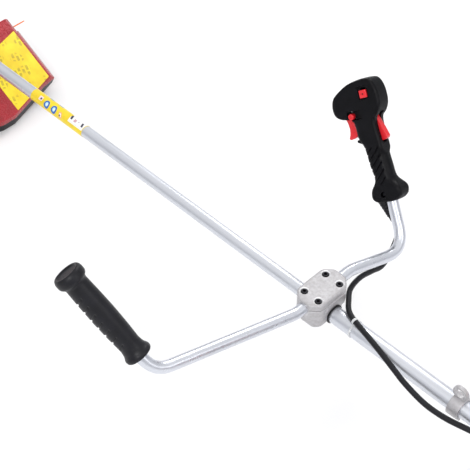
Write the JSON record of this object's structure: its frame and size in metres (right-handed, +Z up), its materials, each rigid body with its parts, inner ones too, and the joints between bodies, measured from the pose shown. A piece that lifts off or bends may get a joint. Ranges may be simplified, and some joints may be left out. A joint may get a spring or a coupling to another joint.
{
  "type": "string trimmer",
  "caption": "Petrol string trimmer with a two-handed handlebar, throttle grip, straight drive tube, two-stroke engine, bevel gear head, line head and hood guard.",
  "frame": {"origin": "centre of the engine stand's flat bottom face, on the ground", "axes": "+X along the drive tube to the cutting head, +Y to the operator's left, +Z up"},
  "size_m": [1.6454, 0.6388, 0.3893],
  "materials": {
    "silver_tube": "satin",
    "bar_tube": "polished",
    "cast_alloy": "cast",
    "steel": "ground",
    "dark_steel": "black oxide",
    "black_plastic": "fine grain",
    "black_rubber": "matte",
    "red_plastic": "semi gloss",
    "guard_plastic": "semi gloss",
    "yellow_film": "printed film",
    "clear_plastic": "milky",
    "tank_plastic": "translucent",
    "line_nylon": "extruded nylon"
  },
  "bodies": {
    "frame": {"drive_tube": "silver_tube", "sleeve_tube": "silver_tube", "handlebar": "bar_tube", "clamp_cap": "cast_alloy", "clamp_middle": "cast_alloy", "clamp_base": "cast_alloy", "harness_bracket": "cast_alloy", "gear_housing": "cast_alloy", "clutch_housing": "cast_alloy", "crankcase": "cast_alloy", "cylinder": "cast_alloy", "carburettor": "cast_alloy", "handle_screw": "steel", "trigger_pin": "steel", "lever_pin": "steel", "line_cutter": "steel", "spark_plug": "steel", "muffler": "steel", "clamp_screw_1": "dark_steel", "clamp_screw_2": "dark_steel", "clamp_screw_3": "dark_steel", "clamp_screw_4": "dark_steel", "control_shell_left": "black_plastic", "control_shell_right": "black_plastic", "cable_clip_rear": "black_plastic", "air_filter_cover": "black_plastic", "engine_stand": "black_plastic", "sleeve_bush": "black_rubber", "shaft_bush": "black_rubber", "left_grip": "black_rubber", "throttle_cable": "black_rubber", "cable_boot": "black_rubber", "plug_boot": "black_rubber", "engine_cover": "red_plastic", "starter_housing": "red_plastic", "guard": "guard_plastic", "tube_label": "yellow_film", "cable_clip_front": "clear_plastic", "fuel_tank": "tank_plastic"},
    "throttle_trigger": {"throttle_trigger": "red_plastic"},
    "lock_lever": {"lock_lever": "red_plastic"},
    "stop_switch": {"stop_switch": "red_plastic"},
    "half_throttle_button": {"half_throttle_button": "red_plastic"},
    "drive_train": {"drive_shaft": "steel", "drive_pinion": "steel", "clutch_drum": "steel"},
    "rotor": {"crankshaft": "steel", "flywheel": "cast_alloy", "clutch_shoe_1": "dark_steel", "clutch_shoe_2": "dark_steel"},
    "head": {"output_gear": "steel", "head_housing": "black_plastic", "cutting_line": "line_nylon"},
    "feed": {"line_spool": "black_plastic", "bump_knob": "black_plastic"},
    "starter_handle": {"starter_handle": "black_plastic"},
    "starter_pulley": {"starter_pulley": "black_plastic"},
    "choke_lever": {"choke_lever": "red_plastic"},
    "primer_bulb": {"primer_bulb": "clear_plastic"},
    "fuel_cap": {"fuel_cap": "black_plastic"}
  },
  "joints": [
    {"name": "throttle_pull", "type": "hinge", "parent": "frame", "child": "throttle_trigger", "pos_m": [0.70785, -0.23384, 0.3138], "axis": [-0.0686, 0.9129, 0.4023], "range_deg": [0, 12], "stiffness_Nm_per_rad": 0.3},
    {"name": "lock_press", "type": "hinge", "parent": "frame", "child": "lock_lever", "pos_m": [0.6718, -0.23911, 0.31963], "axis": [0.0686, -0.9129, -0.4023], "range_deg": [0, 7], "stiffness_Nm_per_rad": 0.3},
    {"name": "stop_slide", "type": "slide", "parent": "frame", "child": "stop_switch", "axis": [0.6175, -0.2779, 0.7359], "range_m": [0, 0.004]},
    {"name": "half_throttle_press", "type": "slide", "parent": "frame", "child": "half_throttle_button", "axis": [0.0686, -0.9129, -0.4023], "range_m": [0, 0.0025], "stiffness_N_per_m": 400},
    {"name": "head_spin", "type": "hinge", "parent": "frame", "child": "head", "pos_m": [1.486, 0, 0.152], "axis": [-0.5, 0, 0.866], "continuous": true},
    {"name": "drive_spin", "type": "hinge", "parent": "frame", "child": "drive_train", "pos_m": [1.486, 0, 0.152], "axis": [1, 0, 0], "continuous": true},
    {"name": "bump_feed", "type": "slide", "parent": "head", "child": "feed", "axis": [-0.5, 0, 0.866], "range_m": [0, 0.004], "stiffness_N_per_m": 1500},
    {"name": "engine_spin", "type": "hinge", "parent": "frame", "child": "rotor", "pos_m": [0.1, 0, 0.152], "axis": [1, 0, 0], "continuous": true},
    {"name": "starter_pull", "type": "slide", "parent": "frame", "child": "starter_handle", "axis": [0, 0.5736, 0.8192], "range_m": [0, 0.7], "stiffness_N_per_m": 3},
    {"name": "pulley_spin", "type": "hinge", "parent": "frame", "child": "starter_pulley", "pos_m": [-0.04, 0, 0.152], "axis": [1, 0, 0], "range_deg": [0, 1400]},
    {"name": "choke_turn", "type": "hinge", "parent": "frame", "child": "choke_lever", "pos_m": [0.02, 0.106, 0.226], "axis": [0, 1, 0], "range_deg": [0, 60]},
    {"name": "primer_press", "type": "slide", "parent": "frame", "child": "primer_bulb", "axis": [1, 0, 0], "range_m": [0, 0.004], "stiffness_N_per_m": 400},
    {"name": "fuel_cap_turn", "type": "hinge", "parent": "frame", "child": "fuel_cap", "pos_m": [-0.038, 0.058, 0.09], "axis": [0, 0, 1], "range_deg": [0, 270]}
  ],
  "couplings": [
    {"joint": "drive_spin", "follows": "head_spin", "ratio": -1.5},
    {"joint": "pulley_spin", "follows": "starter_pull", "rad_per_m": 33.333}
  ]
}
